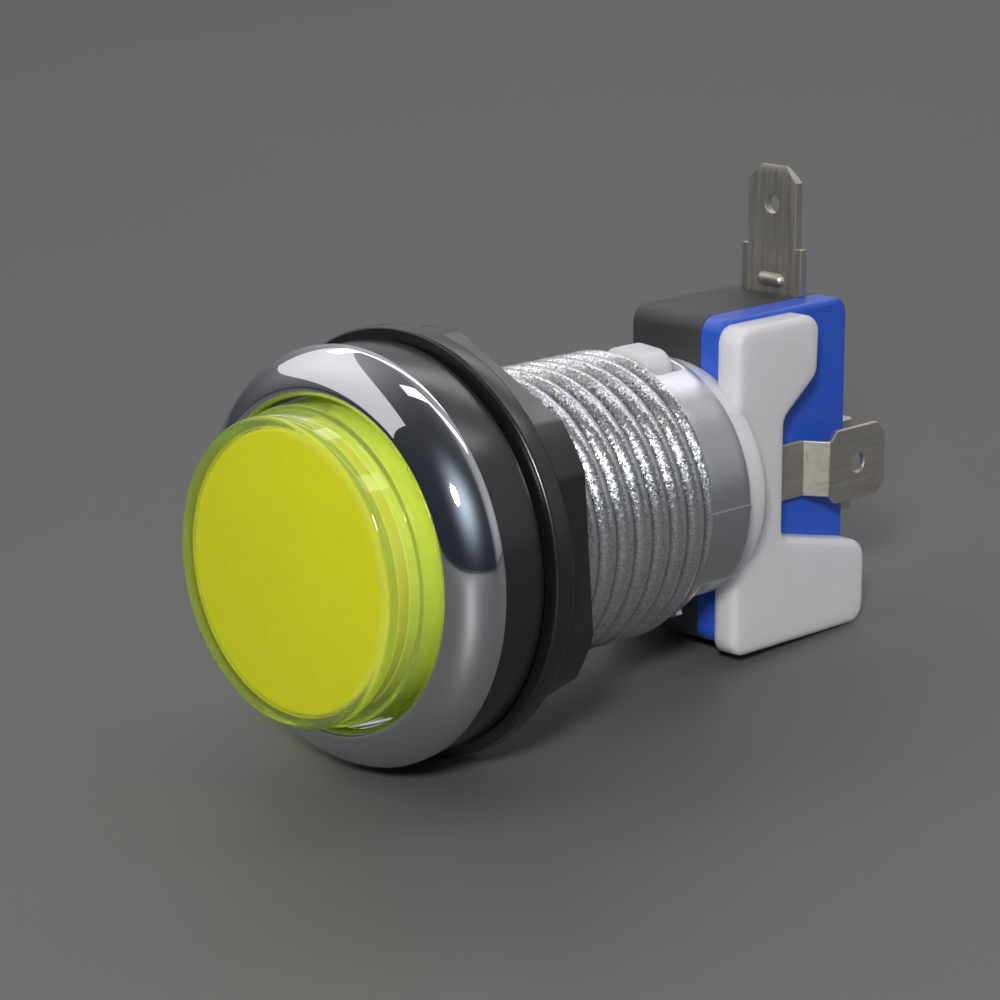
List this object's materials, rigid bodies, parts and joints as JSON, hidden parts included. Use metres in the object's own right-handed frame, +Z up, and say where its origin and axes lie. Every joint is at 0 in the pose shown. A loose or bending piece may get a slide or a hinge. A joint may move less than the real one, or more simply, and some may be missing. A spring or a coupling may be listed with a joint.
{
  "type": "illuminated arcade push button",
  "caption": "Lit push button: clear cap in a chrome bezel on a threaded barrel, with spacer ring, flanged nut, twist-lock lamp holder and a clipped-on microswitch.",
  "frame": {"origin": "on the button's axis, in the plane of the spacer ring's rear face where the panel seats", "axes": "+Y runs along the button's axis from the cap to the switch, +Z is up as it lies, +X is the side with the switch's blue cover"},
  "size_m": [0.034, 0.065, 0.0418],
  "materials": {
    "lens": "clear fluorescent yellow-green plastic",
    "diffuser": "milky light diffuser",
    "white_plastic": "plain moulded plastic",
    "spring_steel": "drawn spring wire",
    "chrome": "bright chrome plating on plastic, grainy on the thread",
    "black_ring": "semi-gloss black plastic",
    "black_nut": "semi-gloss black plastic",
    "white_nylon": "slightly translucent white nylon",
    "lamp_base": "white moulded base",
    "lamp_dome": "clear epoxy",
    "lead_wire": "tinned wire",
    "nickel_tab": "nickel-plated brass strip",
    "switch_black": "black moulded case",
    "switch_blue": "blue moulded cover",
    "pin_plastic": "moulded pin",
    "blade_copper": "copper alloy strip",
    "contact_silver": "silver contact"
  },
  "bodies": {
    "housing": {"bezel_barrel": "chrome", "spacer_ring": "black_ring", "return_spring": "spring_steel", "lamp_holder": "white_nylon", "lamp_base": "lamp_base", "lamp_dome": "lamp_dome", "lamp_leads": "lead_wire", "lamp_contact_near": "nickel_tab", "lamp_contact_far": "nickel_tab", "switch_base": "switch_black", "switch_cover": "switch_blue", "common_terminal": "nickel_tab", "open_terminal": "nickel_tab", "closed_terminal": "nickel_tab", "fixed_contacts": "contact_silver"},
    "button": {"lens_cap": "lens", "diffuser": "diffuser", "plunger": "white_plastic"},
    "nut": {"flange_nut": "black_nut"},
    "pin": {"switch_pin": "pin_plastic"},
    "blade": {"snap_blade": "blade_copper", "moving_contact": "contact_silver"}
  },
  "joints": [
    {"name": "button_press", "type": "slide", "parent": "housing", "child": "button", "axis": [0, 1, 0], "range_m": [0, 0.0022], "stiffness_N_per_m": 250, "springref_m": -0.004, "deforming": ["return_spring"]},
    {"name": "pin_press", "type": "slide", "parent": "housing", "child": "pin", "axis": [0, 1, 0], "range_m": [0, 0.0022]},
    {"name": "blade_swing", "type": "hinge", "parent": "housing", "child": "blade", "pos_m": [-0.0004, 0.039, 0.0104], "axis": [1, 0, 0], "range_deg": [0, 7.57]},
    {"name": "nut_run", "type": "slide", "parent": "housing", "child": "nut", "axis": [0, 1, 0], "range_m": [0, 0.016]}
  ],
  "couplings": [
    {"joint": "pin_press", "follows": "button_press", "ratio": 1},
    {"joint": "blade_swing", "follows": "button_press", "rad_per_m": 60}
  ]
}
